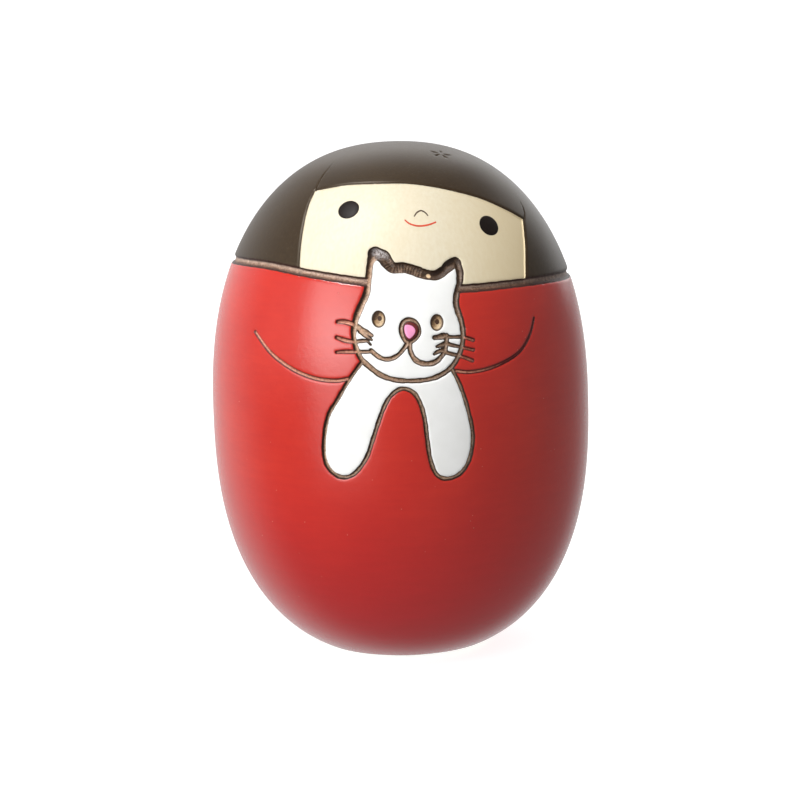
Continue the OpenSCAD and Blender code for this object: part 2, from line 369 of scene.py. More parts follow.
CAT_EYES = [  # centre, half width, half height, all in the front view
    ((-2.87, 55.0), 1.0, 1.22),
    ((5.5, 54.25), 0.97, 1.2),
]
EYE_BOWL = 0.42
BOWL_POWER = 0.6  # under 1 the bowl has steep sides and a flat bottom
NOSE_DEPTH = 0.34
NOSE_CHAR = 0.25
PUPIL_R = 0.38
PUPIL_SHIFT = (0.12, 0.14)
DENT_POWER = 0.8  # under 1 the cuts in the hair and the petals are rounded

RECESS = 0.34  # how far the bare face lies below the hair lacquer
SHOULDER = 0.07  # how far a coat is rounded over beside a carved line
SHOULDER_REACH = 0.12
HAIR_LIP = (0.55, 0.45)  # the share of the step that a coat's rounded edge takes, and how wide it is
FOOT_LIP = (0.5, 0.3)
WALL = 0.12  # the width of the rest of a step
COLLAR_FADE = 0.3  # how far to each side of the collar the face's recess takes to begin
COLLAR_LEAN = 0.87  # turns a height over the collar line into a rough distance from it

# Painted light and shade on the carved lines: the wall on this side of a line's middle, away from the key
# light, is painted dark as painted shade, and the other wall pale as painted light
SHADED_WALL_WAY = np.array([-0.8, 0.0, 0.6])
# On the collar the wall below the line's middle is painted dark, and the wall above it pale as a painted
# highlight
COLLAR_DARK_WALL_WAY = np.array([0.0, 0.0, -1.0])

KINDS = ["collar", "cat", "robe", "eye"]
FAR = 9.0

# How far from an edge or a carved line the finest mesh reaches, and where the face's edge needs none
EDGE_BAND = 0.3
GROOVE_BAND = 0.35
UNDER_CAT = 0.4


def oval_reach(points, centre, half):
    """Roughly how far inside an oval of the front view each point is, and its share of the radius."""
    x = (points[:, 0] - centre[0]) / half[0]
    h = (points[:, 2] - centre[1]) / half[1]
    share = np.hypot(x, h)
    size = np.hypot(x * half[0], h * half[1])
    reach = np.clip(size * (1 / np.maximum(share, 1e-6) - 1), -FAR, FAR)
    return np.where(points[:, 1] < 0, reach, -FAR), share


def dent_lines():
    """The knife cuts and the blossom's petals: a line on the egg, its half width and its depth along it."""
    cuts = [(front(smooth(path)), widths, depths) for path, widths, depths in FRINGE_CUTS]
    middle = front([BLOSSOM])
    normal = egg_normal(middle)
    side = unit([1, 0, 0] - normal * normal[0, 0])
    rise = np.cross(normal, side)
    for k in range(PETALS):
        a = 2 * math.pi * k / PETALS + PETAL_TURN
        out = (math.cos(a) * side + math.sin(a) * rise) * BLOSSOM_R
        cuts.append((on_egg(smooth(middle + np.outer(PETAL, out))), PETAL_W, PETAL_DEPTH))
    return [(line, 0.5 * along_line(w, len(line)), along_line(d, len(line))) for line, w, d in cuts]


DENTS = dent_lines()


def step_down(inside, lip, slope):
    """From 0 on a coat to 1 past its edge: lip of it down the coat's rounded edge, the rest down a wall."""
    rounded = lip * np.clip(1 + inside / slope, 0, 1) ** 2
    return np.where(inside > 0, lip + (1 - lip) * ease(inside / WALL), rounded)


class Fields:
    """What the carving says at some points of the egg: the distances that decide the edges, and the depth."""

    def __init__(self, points):
        self.points = points
        self.above_collar = (points[:, 2] - collar_height(points)) * COLLAR_LEAN
        self.cat = np.maximum(signed(points, head_outline), signed(points, legs_outline))
        self.face = signed(points, face_outline)
        self.band = points[:, 2] - BARE_BAND
        self.channel = np.full(len(points), -REACH)
        self.kind = np.zeros(len(points), int)
        self.groove = np.zeros(len(points))
        self.char = np.zeros(len(points))
        self.painted_wall_light = np.zeros(len(points))
        for line in LINES:
            self._cut_line(line)
        for centre, *half in CAT_EYES:
            reach, share = oval_reach(points, centre, half)
            # Painted light and shade in each eye bowl: dark up its upper left wall, pale down its lower right
            painted_wall_light = (points - front([centre])[0]) @ SHADED_WALL_WAY / half[1]
            self._cut(reach, EYE_BOWL * np.clip(1 - share**2, 0, 1) ** BOWL_POWER, "eye", 0, painted_wall_light)
        self._cut_nose()
        self.dent = np.zeros(len(points))
        self.dent_reach = np.full(len(points), -REACH)
        for line, half, depths in DENTS:
            dist, place = nearest(points, line)
            index = np.arange(len(half))
            profile = np.clip(1 - dist / np.interp(place, index, half), 0, 1) ** DENT_POWER
            self.dent = np.maximum(self.dent, np.interp(place, index, depths) * profile)
            self.dent_reach = np.maximum(self.dent_reach, -dist)

    def _cut_line(self, line):
        """A carved line: a rounded channel, with the gouge's marks in its chatter stretch."""
        points = self.points
        dist, place = nearest(points, line["line"])
        index = np.arange(len(line["half"]))
        half, deep, char, travel = (
            np.interp(place, index, line[key]) for key in ("half", "depth", "char", "travel")
        )
        foot = np.column_stack([np.interp(place, index, xyz) for xyz in line["line"].T])
        # Which wall of the line a point is on, for its painted light and shade
        painted_wall_light = (points - foot) @ (COLLAR_DARK_WALL_WAY if line["kind"] == "collar" else SHADED_WALL_WAY) / half
        channel = half - dist
        if line["kind"] == "collar":
            channel = np.minimum(channel, -self.cat)
        if line["chatter"]:
            start, end = line["chatter"]
            marks = np.sin(travel * 2 * math.pi / CHATTER_STEP) * (travel > start) * (travel < end)
            deep = deep + CHATTER * marks
            char = char - CHATTER_PALE * np.clip(-marks, 0, 1)
        profile = np.sqrt(np.clip(1 - (dist / half) ** 2, 0, 1))
        self._cut(channel, deep * profile, line["kind"], char, painted_wall_light)

    def _cut_nose(self):
        """The ring round the cat's nose, which leaves the ground inside it standing."""
        points = self.points
        outer, self.ground = signed(points, nose_outer), signed(points, nose_ground)
        ring = np.minimum(outer, -self.ground)
        middle = np.maximum(0.5 * (outer - self.ground), 1e-3)
        profile = np.sqrt(np.clip(1 - (1 - ring / middle) ** 2, 0, 1))
        # Which side of the ring a point is on, for the ring's painted light and shade
        spoke = points - front([np.mean(NOSE_GROUND, axis=0)])[0]
        across = np.clip(-(self.ground + outer) / (2 * middle), -1, 1)
        painted_wall_light = spoke @ SHADED_WALL_WAY / np.maximum(np.linalg.norm(spoke, axis=1), 1e-6) * across
        self._cut(ring, NOSE_DEPTH * profile, "cat", NOSE_CHAR, painted_wall_light)

    def _cut(self, reach, groove, kind, char, painted_wall_light):
        """Joins a line or bowl to the rest. Where two meet, the one that reaches further gives its looks."""
        take = reach > self.channel
        self.char = np.where(take, char, self.char)
        self.painted_wall_light = np.where(take, painted_wall_light, self.painted_wall_light)
        self.kind[take] = KINDS.index(kind)
        self.channel = np.maximum(self.channel, reach)
        self.groove = np.maximum(self.groove, np.where(reach > 0, groove, 0))

    def depth(self):
        """How far the surface lies below the lacquered egg."""
        bare = step_down(np.minimum(self.face, -self.cat), *HAIR_LIP)
        bare = bare * ease((self.above_collar + COLLAR_FADE) / (2 * COLLAR_FADE))
        foot = step_down(-self.band, *FOOT_LIP)
        shoulder = SHOULDER * np.exp(np.minimum(self.channel, 0) / SHOULDER_REACH)
        return RECESS * bare + COAT * foot + shoulder + self.groove + self.dent * (self.face < 0)

    def edges(self):
        """The distance to the nearest edge or carved line, for the size of the mesh."""
        bare_edge = np.where((self.above_collar > -1) & (self.cat <= UNDER_CAT), np.abs(self.face), FAR)
        coats = np.minimum(np.minimum(bare_edge, np.abs(self.band)), -self.dent_reach) - EDGE_BAND
        return np.maximum(np.minimum(coats, -self.channel - GROOVE_BAND), 0)


# ---- the mesh of the whole surface

FINE = 0.15
COARSE = 1.3
GROWTH = 0.31  # how much larger the triangles are per millimetre from an edge
SLACK = 1.45  # how much longer than that a side may be
SPHERE_STEPS = 6

SNAP = 0.004  # a point this near to a cut lies on it
NEAR_END = 0.2  # a cut this near to a side's end, as a share of it, moves that end instead
KEEP_OFF = 0.02  # the least share of a side that a cut leaves at its end


def sides_of(tris):
    return np.concatenate([tris[:, [0, 1]], tris[:, [1, 2]], tris[:, [2, 0]]])


def edge_keys(sides, tris):
    """A number for each side that is the same whichever way round it goes."""
    return sides.min(1) * (tris.max() + 1) + sides.max(1)


def unique_edges(tris):
    """Each edge once, and for each triangle the edge numbers of its sides 01, 12 and 20."""
    sides = sides_of(tris)
    keys, back = np.unique(edge_keys(sides, tris), return_inverse=True)
    edges = np.zeros((len(keys), 2), int)
    edges[back] = np.sort(sides, axis=1)
    return edges, back.reshape(3, -1).T


def start_mesh():
    mesh = bpy.data.meshes.new("start")
    bm = bmesh.new()
    bmesh.ops.create_icosphere(bm, subdivisions=SPHERE_STEPS, radius=EGG_R)
    bm.to_mesh(mesh)
    bm.free()
    points = np.zeros(len(mesh.vertices) * 3)
    mesh.vertices.foreach_get("co", points)
    tris = np.zeros(len(mesh.polygons) * 3, np.int32)
    mesh.polygons.foreach_get("vertices", tris)
    bpy.data.meshes.remove(mesh)
    return on_egg(points.reshape(-1, 3) + RING), tris.reshape(-1, 3).astype(int)


def split_edges(tris, sides, new):
    """Triangles after some edges got a middle point, and the one that each comes from.

    new holds each edge's new vertex, or -1."""
    m = new[sides]
    marked = (m >= 0).sum(1)
    found = [(marked == 0, tris[marked == 0])]
    for side in range(3):
        turn = [side, (side + 1) % 3, (side + 2) % 3]
        one = (marked == 1) & (m[:, side] >= 0)
        a, b, c = tris[one][:, turn].T
        ab = m[one][:, side]
        found += [(one, np.stack(x, 1)) for x in ((a, ab, c), (ab, b, c))]
        two = (marked == 2) & (m[:, turn[2]] < 0)
        a, b, c = tris[two][:, turn].T
        ab, bc = m[two][:, turn[0]], m[two][:, turn[1]]
        found += [(two, np.stack(x, 1)) for x in ((ab, b, bc), (a, ab, bc), (a, bc, c))]
    three = marked == 3
    a, b, c = tris[three].T
    ab, bc, ca = m[three].T
    found += [(three, np.stack(x, 1)) for x in ((a, ab, ca), (ab, b, bc), (ca, bc, c), (ab, bc, ca))]
    owners, parts = zip(*found)
    return np.concatenate(parts), np.concatenate([np.flatnonzero(own) for own in owners])


def refined(points, tris):
    """The mesh with its triangles halved until they suit the distance to the nearest edge."""
    want = FINE + GROWTH * Fields(points).edges()
    while True:
        edges, sides = unique_edges(tris)
        a, b = edges.T
        length = np.linalg.norm(points[a] - points[b], axis=1)
        split = length > SLACK * np.minimum(np.minimum(want[a], want[b]), COARSE)
        if not split.any():
            return points, tris
        middle = on_egg((points[a[split]] + points[b[split]]) / 2)
        new = np.full(len(edges), -1)
        new[split] = len(points) + np.arange(len(middle))
        tris, _ = split_edges(tris, sides, new)
        points = np.vstack([points, middle])
        want = np.concatenate([want, FINE + GROWTH * Fields(middle).edges()])


def crossed(edges, value):
    """Which edges the cut crosses, their two ends, and how far along each it does."""
    a, b = edges.T
    crossing = value[a] * value[b] < 0
    a, b = a[crossing], b[crossing]
    return crossing, a, b, value[a] / (value[a] - value[b])


def cut(points, tris, signs, field, locked):
    """The mesh cut along field = 0. signs gains a column with each triangle's side of it."""
    value = field(points)
    value[np.abs(value) < SNAP] = 0
    _, a, b, t = crossed(unique_edges(tris)[0], value)
    for end, other, share in ((a, b, t), (b, a, 1 - t)):
        near = (share < NEAR_END) & ~locked[end]
        order = np.argsort(-share[near])
        moving, towards, part = end[near][order], other[near][order], share[near][order]
        points[moving] = on_egg(points[moving] + (points[towards] - points[moving]) * part[:, None])
        value[moving] = 0
    locked = locked | (value == 0)
    edges, sides = unique_edges(tris)
    crossing, a, b, t = crossed(edges, value)
    for _ in range(2):
        middle = on_egg(points[a] + (points[b] - points[a]) * t[:, None])
        t = np.clip(t - field(middle) / (value[b] - value[a]), KEEP_OFF, 1 - KEEP_OFF)
    middle = on_egg(points[a] + (points[b] - points[a]) * t[:, None])
    new = np.full(len(edges), -1)
    new[crossing] = len(points) + np.arange(len(middle))
    tris, owner = split_edges(tris, sides, new)
    points = np.vstack([points, middle])
    value = np.concatenate([value, np.zeros(len(middle))])
    locked = np.concatenate([locked, np.ones(len(middle), bool)])
    side = np.sign(value[tris].sum(1)).astype(int)
    flat = side == 0
    if flat.any():
        side[flat] = np.where(field(on_egg(points[tris[flat]].mean(1))) > 0, 1, -1)
    return points, tris, np.column_stack([signs[owner], side]), locked


# ---- pieces cut from the surface

LINING = 0.1  # how deep the scorched wood of a carved line goes
LEVELS = [0.0, LINING, COAT]  # how far below the carved surface each level of a piece's points lies
SURFACE, LINED, COATED = range(3)
GROOVE = "_groove"


def carve():
    """The cut mesh: points on the egg, triangles, each one's region, and whether it is in the head."""
    points, tris = refined(*start_mesh())
    signs = np.zeros((len(tris), 0), int)
    locked = np.zeros(len(points), bool)
    fields = [
        lambda p: Fields(p).channel,
        lambda p: signed(p, face_outline),
        lambda p: p[:, 2] - BARE_BAND,
        lambda p: p[:, 2] - collar_height(p),
        lambda p: p[:, 2] - egg_normal(p)[:, 2] * COAT,
    ]
    for field in fields:
        points, tris, signs, locked = cut(points, tris, signs, field, locked)
    channel, face, band, above, foot = (signs > 0).T
    middle = Fields(on_egg(points[tris].mean(1)))
    region = np.where(above, "hair_coat", "robe_coat").astype("U20")
    region[~band] = "foot"
    region[face & above] = "face"
    region[middle.cat > 0] = "cat_coat"
    region[(middle.ground > 0) & ~channel] = "nose_ground"
    kinds = np.array([kind + GROOVE for kind in KINDS])
    region[channel] = kinds[middle.kind[channel]]
    tris, region, above = tris[foot], region[foot], above[foot]
    used, tris = np.unique(tris, return_inverse=True)
    return points[used], tris.reshape(-1, 3), region, above


def rim(tris):
    """The edges that only one triangle has, each in that triangle's order."""
    sides = sides_of(tris)
    _, first, count = np.unique(edge_keys(sides, tris), return_index=True, return_counts=True)
    return sides[first[count == 1]]


def with_level(points, level):
    """Vertices as pairs: the number of a point, and the level that it is taken down to."""
    return np.stack([points, np.full_like(points, level)], -1)


def walls(sides, top, bottom):
    """Triangles, level by level, from the sides at level top down to bottom."""
    out = []
    for level in range(top, bottom):
        a0, b0 = with_level(sides[:, 0], level), with_level(sides[:, 1], level)
        a1, b1 = a0 + [0, 1], b0 + [0, 1]
        out += [np.stack([b0, a0, a1], 1), np.stack([b0, a1, b1], 1)]
    return out


def shell(tris, bottom):
    """A closed skin: the triangles, the same ones turned over at level bottom, and the walls between."""
    faces = [with_level(tris, SURFACE), with_level(tris[:, ::-1], bottom)]
    return np.concatenate(faces + walls(rim(tris), SURFACE, bottom))


def wood(tris, region, part):
    """The outside of one block of wood, stepped down below the coats and the scorched lines."""
    level = np.full(len(tris), COATED)
    level[np.char.endswith(region, GROOVE)] = LINED
    level[(region == "face") | (region == "foot")] = SURFACE
    steps = {n: tris[part & (level == n)] for n in (SURFACE, LINED, COATED)}
    out = [with_level(own, n) for n, own in steps.items()]
    for high, low in ((SURFACE, LINED), (SURFACE, COATED), (LINED, COATED)):
        sides, others = rim(steps[high]), rim(steps[low])
        shared = np.isin(edge_keys(sides, tris), edge_keys(others, tris))
        out += walls(sides[shared], high, low)
    return np.concatenate(out)


def loops(tris):
    """The open rims of a mesh, each as vertices in the order of its triangles' sides."""
    follow = dict(rim(tris).tolist())
    found = []
    while follow:
        start, here = next(iter(follow.items()))
        loop = [start]
        del follow[start]
        while here != start:
            loop.append(here)
            here = follow.pop(here)
        found.append(loop)
    return found


FOOT_RINGS = (0.75 * FOOT_R, 0.4 * FOOT_R)
RING_COUNT = 96
SHARP_OVER = 40  # degrees
made = {}  # the pieces by name


def zipped(points, outer, circle):
    """Triangles between an open rim and the vertices of a circle inside it, and the circle as the new rim."""
    x, y, _ = points[outer + outer[:1]].T
    turn = np.unwrap(np.arctan2(y, x)) * RING_COUNT / (2 * math.pi)
    way = int(np.sign(turn[-1] - turn[0]))
    ring = [circle[way * j % RING_COUNT] for j in range(RING_COUNT)]
    step = np.maximum.accumulate(np.rint(turn * way).astype(int))
    tris = []
    for a, b, first, last in zip(outer, outer[1:] + outer[:1], step, step[1:]):
        tris.append([b, a, ring[first % RING_COUNT]])
        tris += [[b, ring[j % RING_COUNT], ring[(j + 1) % RING_COUNT]] for j in range(first, last)]
    return tris, ring


def closed_block(points, tris, hole_end):
    """The block's triangles with its open rims closed: the collar's round the dowel hole, the foot's flat."""
    turns = np.linspace(0, 2 * math.pi, RING_COUNT, endpoint=False)
    circle = np.stack([np.cos(turns), np.sin(turns), np.zeros(RING_COUNT)], 1)
    for outer in loops(tris):
        height = points[outer][:, 2].mean()
        if height > RING_H:
            hole = circle * DOWEL_R
            hole[:, 2] = COLLAR_AXIS_H - hole[:, 0] * math.tan(math.radians(COLLAR_SKEW))
            middle = np.array([0, 0, hole_end])
            rings = [hole, circle * DOWEL_R + middle]
        else:
            middle = np.array([0, 0, height])
            rings = [circle * r + middle for r in FOOT_RINGS]
        for ring in rings:
            inner = list(range(len(points), len(points) + RING_COUNT))
            points = np.vstack([points, ring])
            band, outer = zipped(points, outer, inner)
            tris = np.vstack([tris, band])
        a, b = np.array(outer), np.roll(outer, -1)
        tris = np.vstack([tris, np.stack([b, a, np.full(len(a), len(points))], 1)])
        points = np.vstack([points, middle])
    return points, tris


def placed(name, data):
    """A new object in the scene."""
    obj = bpy.data.objects.new(name, data)
    bpy.context.scene.collection.objects.link(obj)
    return obj


def piece(name, points, tris, values=None):
    """A mesh piece from points in millimetres, riding on the doll, with values stored at its points."""
    mesh = bpy.data.meshes.new(name)
    mesh.from_pydata((points * MM).tolist(), [], tris.tolist())
    mesh.polygons.foreach_set("use_smooth", np.ones(len(mesh.polygons), bool))
    mesh.set_sharp_from_angle(angle=math.radians(SHARP_OVER))
    for key, value in (values or {}).items():
        mesh.attributes.new(key, "FLOAT", "POINT").data.foreach_set("value", value.astype(np.float32))
    mesh.update()
    made[name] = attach(placed(name, mesh), "root")
    return made[name]


def build_surface():
    """Every piece that is cut from the carved egg."""
    base, tris, region, above = carve()
    fields = Fields(base)
    normal = egg_normal(base)
    outer = base - normal * fields.depth()[:, None]
    values = {
        "edge": -fields.channel,
        "rim": np.minimum(-fields.channel, np.abs(fields.face)),
        "char": fields.char,
        # Which wall of a carved line a point is on, for the painted light and shade of its material
        "painted_wall_light": fields.painted_wall_light,
        "chip": np.linalg.norm(base - front([CHIP]), axis=1),
        # Distance to the painted sheen on the forehead line
        "sheen_spot": np.linalg.norm(base - front([SHEEN_SPOT]), axis=1),
    }

    def add(name, cells, hole_end=None):
        flat = cells.reshape(-1, 2)
        ids, back = np.unique(flat @ [len(LEVELS), 1], return_inverse=True)
        source, level = np.divmod(ids, len(LEVELS))
        points = outer[source] - normal[source] * np.array(LEVELS)[level][:, None]
        faces = back.reshape(-1, 3)
        if hole_end is not None:
            points, faces = closed_block(points, faces, hole_end)
        extra = len(points) - len(source)
        own = {key: np.append(value[source], np.full(extra, FAR)) for key, value in values.items()}
        piece(name, points, faces, own)

    for name in ("hair_coat", "robe_coat", "cat_coat", "nose_ground"):
        add(name, shell(tris[region == name], COATED))
    for kind in KINDS:
        add(kind + GROOVE, shell(tris[region == kind + GROOVE], LINED))
    add("head_block", wood(tris, region, above), COLLAR_AXIS_H + DOWEL_HOLE / 2)
    add("body_block", wood(tris, region, ~above), COLLAR_AXIS_H - DOWEL_HOLE / 2)


build_surface()


# ---- brush marks and drops of paint


def on_surface(points, rise):
    """The points on the carved surface, lifted by rise."""
    base = on_egg(points)
    depth = Fields(base).depth()
    return base - egg_normal(base) * (depth - rise)[:, None]


SUNK = 0.05  # how far a mark's underside lies in the surface below it
DROP_LIP = 0.001  # leaves a drop a little of its height at its edge


def oval(centre, half_w, half_h, turn=0, spokes=64):
    """An oval round a point of the front view, flat against the egg and turned by some degrees."""
    middle = front([centre])
    out = egg_normal(middle)
    east = unit(np.cross([0, 0, 1], out))
    north = np.cross(out, east)
    a = np.linspace(0, 2 * math.pi, spokes, endpoint=False)
    u, v = half_w * np.cos(a), half_h * np.sin(a)
    c, s = math.cos(math.radians(turn)), math.sin(math.radians(turn))
    return middle + np.outer(u * c - v * s, east) + np.outer(u * s + v * c, north)


def mark(name, flat, tris, rise):
    """A closed drop of paint over triangles near the surface: rise above it on top, sunk below it."""
    top = on_surface(flat, rise)
    bottom = on_surface(flat, np.full(len(flat), -SUNK))
    return piece(name, np.vstack([top, bottom]), shell(tris, LINED) @ [1, len(flat)])


def drop(name, outline, rise, rings=14):
    """A drop of paint, domed inside a closed outline that runs anticlockwise."""
    centre = outline.mean(0)
    share = np.sin(np.linspace(0, math.pi / 2, rings + 1))[1:]
    flat = np.vstack([centre[None]] + [centre + (outline - centre) * r for r in share])
    share = np.append(0, np.repeat(share, len(outline)))
    spokes = len(outline)
    here = 1 + np.arange(spokes)
    beside = np.roll(here, -1)
    tris = [np.stack([np.zeros(spokes, int), here, beside], 1)]
    for start in range(0, (rings - 1) * spokes, spokes):
        p, q = here + start, beside + start
        tris += [np.stack([p, p + spokes, q], 1), np.stack([q, p + spokes, q + spokes], 1)]
    return mark(name, flat, np.concatenate(tris), rise * np.sqrt(1 - share**2 * (1 - DROP_LIP)))


def brush_line(name, path, widths, rise, cells=8):
    """A painted line along a path of the front view, domed across."""
    line = front(smooth(path, steps=10))
    across = unit(np.cross(np.gradient(line, axis=0), egg_normal(line)))
    half = 0.5 * along_line(widths, len(line))
    spread = np.linspace(-1, 1, cells + 1)
    flat = (line[:, None] + across[:, None] * (half[:, None] * spread)[..., None]).reshape(-1, 3)
    wide = len(spread)
    p = (np.arange(len(line) - 1)[:, None] * wide + np.arange(cells)).ravel()
    tris = np.vstack([np.stack([p, p + 1, p + wide + 1], 1), np.stack([p, p + wide + 1, p + wide], 1)])
    return mark(name, flat, tris, np.tile(rise * np.sqrt(1 - spread**2), len(line)))


SMILE = [[1.3, 68.7], [2.0, 68.15], [3.2, 67.8], [4.6, 67.85], [5.9, 68.2]]
NOSE = [[2.7, 69.1], [3.1, 69.6], [3.7, 69.85], [4.3, 69.6], [4.75, 69.1]]
EYE_RISE = 0.14
drop("left_eye_drop", oval((-6.95, 70.2), 1.62, 1.62, 18), EYE_RISE)
drop("right_eye_drop", oval((13.8, 67.15), 1.78, 1.62, 36), EYE_RISE)
brush_line("nose_stroke", NOSE, [0.18, 0.24, 0.26, 0.24, 0.18], 0.03)
brush_line("smile_stroke", SMILE, [0.2, 0.28, 0.3, 0.3, 0.26], 0.04)
pink = front(smooth(NOSE_PINK, closed=True))[::-1]
drop("nose_drop", pink, 0.06, rings=8)
pupils = []
for centre, *_ in CAT_EYES:
    dot = oval(np.add(centre, PUPIL_SHIFT), PUPIL_R * 0.85, PUPIL_R, spokes=24)
    pupils.append(drop("cat_pupil_dots", dot, 0.05, rings=5))
made["cat_pupil_dots"] = pupils[0]
with bpy.context.temp_override(active_object=pupils[0], selected_editable_objects=pupils):
    bpy.ops.object.join()

# ---- materials


def rgba(colour, shade=1.0):
    """A socket as it is, or the linear colour, times shade, of the 0 to 255 values that a screen shows."""
    if isinstance(colour, bpy.types.NodeSocket):
        return colour
    return (*(shade * (c / 3294.6 if c <= 10 else ((c / 255 + 0.055) / 1.055) ** 2.4) for c in colour), 1)


class Nodes:
    """Makes the nodes of a material or a world. Sizes of patterns are in millimetres."""

    def __init__(self, owner, place="Object"):
        owner.use_nodes = True
        self.owner = owner
        self.tree = owner.node_tree
        self.place = self.add("ShaderNodeTexCoord").outputs[place]

    def add(self, kind, **settings):
        node = self.tree.nodes.new(kind)
        for key, value in settings.items():
            setattr(node, key, value)
        return node

    def put(self, socket, value):
        if isinstance(value, bpy.types.NodeSocket):
            self.tree.links.new(value, socket)
        else:
            socket.default_value = value

    def axis(self, name):
        split = self.add("ShaderNodeSeparateXYZ")
        self.put(split.inputs[0], self.place)
        return split.outputs[name]

    def scaled(self, sizes):
        """The place, counted in patterns of these sizes."""
        scale = self.add("ShaderNodeVectorMath", operation="MULTIPLY")
        self.put(scale.inputs[0], self.place)
        scale.inputs[1].default_value = [1 / (MM * size) for size in sizes]
        return scale.outputs[0]

    def math(self, operation, a, b=0.0, clamp=False):
        node = self.add("ShaderNodeMath", operation=operation, use_clamp=clamp)
        self.put(node.inputs[0], a)
        self.put(node.inputs[1], b)
        return node.outputs[0]

    def times(self, a, b):
        return self.math("MULTIPLY", a, b)

    def noise(self, size, detail=3.0, rough=0.5, stretch=(1, 1, 1)):
        """Noise in blobs of about this size, longer along an axis whose stretch is more than 1."""
        node = self.add("ShaderNodeTexNoise")
        self.put(node.inputs["Vector"], self.scaled([size * s for s in stretch]))
        node.inputs["Scale"].default_value = 1
        node.inputs["Detail"].default_value = detail
        node.inputs["Roughness"].default_value = rough
        return node.outputs["Fac"]

    def spots(self, size, share):
        """Small round specks, 1 in a speck: share is the part of the cells' width that they fill."""
        cells = self.add("ShaderNodeTexVoronoi")
        self.put(cells.inputs["Vector"], self.scaled([size] * 3))
        cells.inputs["Scale"].default_value = 1
        return self.ramp(cells.outputs["Distance"], share, share * 0.5)

    def ramp(self, value, low, high, steps="LINEAR"):
        """0 at low, 1 at high."""
        node = self.add("ShaderNodeMapRange", clamp=True, interpolation_type=steps)
        self.put(node.inputs["Value"], value)
        node.inputs["From Min"].default_value = low
        node.inputs["From Max"].default_value = high
        return node.outputs["Result"]

    def between(self, value, low, high):
        """low where the value is 0, high where it is 1."""
        node = self.add("ShaderNodeMapRange", clamp=True)
        self.put(node.inputs["Value"], value)
        node.inputs["To Min"].default_value = low
        node.inputs["To Max"].default_value = high
        return node.outputs["Result"]

    def mix(self, share, a, b, shade=1.0):
        """From a to b as share goes from 0 to 1. Shade darkens b."""
        node = self.add("ShaderNodeMix", data_type="RGBA")
        self.put(node.inputs["Factor"], share)
        self.put(node.inputs["A"], rgba(a))
        self.put(node.inputs["B"], rgba(b, shade))
        return node.outputs["Result"]

    def over(self, colour, other, mask, most):
        """The colour, with at most that share of another over it where mask is 1."""
        return self.mix(self.times(mask, most), colour, other)

    def value(self, name):
        return self.add("ShaderNodeAttribute", attribute_name=name).outputs["Fac"]


class Finish(Nodes):
    """The nodes of a new material."""

    def __init__(self, name):
        super().__init__(bpy.data.materials.new(name))
        self.shader = self.tree.nodes["Principled BSDF"]

    def bump(self, height, depth):
        """Bumps up to depth millimetres deep."""
        node = self.add("ShaderNodeBump")
        self.put(node.inputs["Height"], height)
        node.inputs["Distance"].default_value = depth * MM
        self.put(self.shader.inputs["Normal"], node.outputs["Normal"])

    def done(self, colour, roughness, specular=0.5, tint=(1, 1, 1)):
        self.put(self.shader.inputs["Base Color"], rgba(colour))
        self.put(self.shader.inputs["Roughness"], roughness)
        self.shader.inputs["Specular IOR Level"].default_value = specular
        self.shader.inputs["Specular Tint"].default_value = (*tint, 1)
        return self.owner


LOW_ROBE = (34 * MM, 6 * MM)  # the heights between which the robe turns more crimson
CHEEK_WARMTH = (6 * MM, 21 * MM)  # how far to the right the face starts and ends turning yellower
RIM_W = 0.14  # how far the darker edge of a coat reaches
# How far from a carved line the robe lacquer turns darker
LINE_DARK_W = 0.12
FELT = 0.5  # the middle of a noise's values


def robe_material():
    n = Finish("robe_lacquer")
    cloud = n.noise(9, 4, 0.55)
    streak = n.noise(0.9, 3, 0.6, (7, 7, 1))
    colour = n.mix(n.ramp(cloud, 0.3, 0.7), (190, 35, 22), (198, 42, 26))
    colour = n.mix(n.ramp(n.axis("Z"), *LOW_ROBE), colour, (192, 24, 29))
    colour = n.over(colour, (174, 30, 24), n.ramp(streak, 0.35, 0.7), 0.25)
    # The robe lacquer darker along its lip beside the carved lines
    colour = n.over(colour, (110, 22, 16), n.ramp(n.value("edge"), LINE_DARK_W, 0.0), 0.6)
    dust = n.times(n.spots(1.7, 0.06), n.ramp(n.noise(6, 2), 0.5, 0.58))
    colour = n.over(colour, (236, 140, 120), dust, 0.5)
    n.bump(n.math("ADD", n.noise(0.5, 4, 0.7), n.times(dust, 1.5)), 0.028)
    return n.done(colour, n.between(cloud, 0.21, 0.25), 0.6)


def hair_material():
    n = Finish("hair_lacquer")
    grain = n.noise(0.28, 4, 0.65, (1, 1, 4))
    colour = n.mix(n.ramp(grain, 0.3, 0.75), (48, 36, 24), (62, 48, 32))
    colour = n.over(colour, (42, 31, 20), n.ramp(n.noise(7), 0.4, 0.7), 0.4)
    colour = n.over(colour, (44, 27, 14), n.ramp(n.value("rim"), RIM_W, 0.02), 0.6)
    pores = n.spots(0.55, 0.16)
    n.bump(n.math("SUBTRACT", grain, n.times(pores, 0.8)), 0.018)
    return n.done(colour, n.between(grain, 0.34, 0.44), 0.32, (1.0, 0.92, 0.78))


def sanded_wood(name, pale, dark, warm=None):
    """Bare wood. Where warm is given, it turns to that colour towards the doll's left cheek."""
    n = Finish(name)
    fibre = n.noise(0.5, 4, 0.6, (1, 1, 9))
    colour = n.over(pale, dark, n.ramp(fibre, 0.3, 0.75), 0.6)
    colour = n.over(colour, dark, n.ramp(n.noise(8), 0.4, 0.75), 0.3)
    if warm:
        colour = n.over(colour, warm, n.ramp(n.axis("X"), *CHEEK_WARMTH), 0.85)
    n.bump(fibre, 0.008)
    return n.done(colour, n.between(fibre, 0.42, 0.55), 0.4)


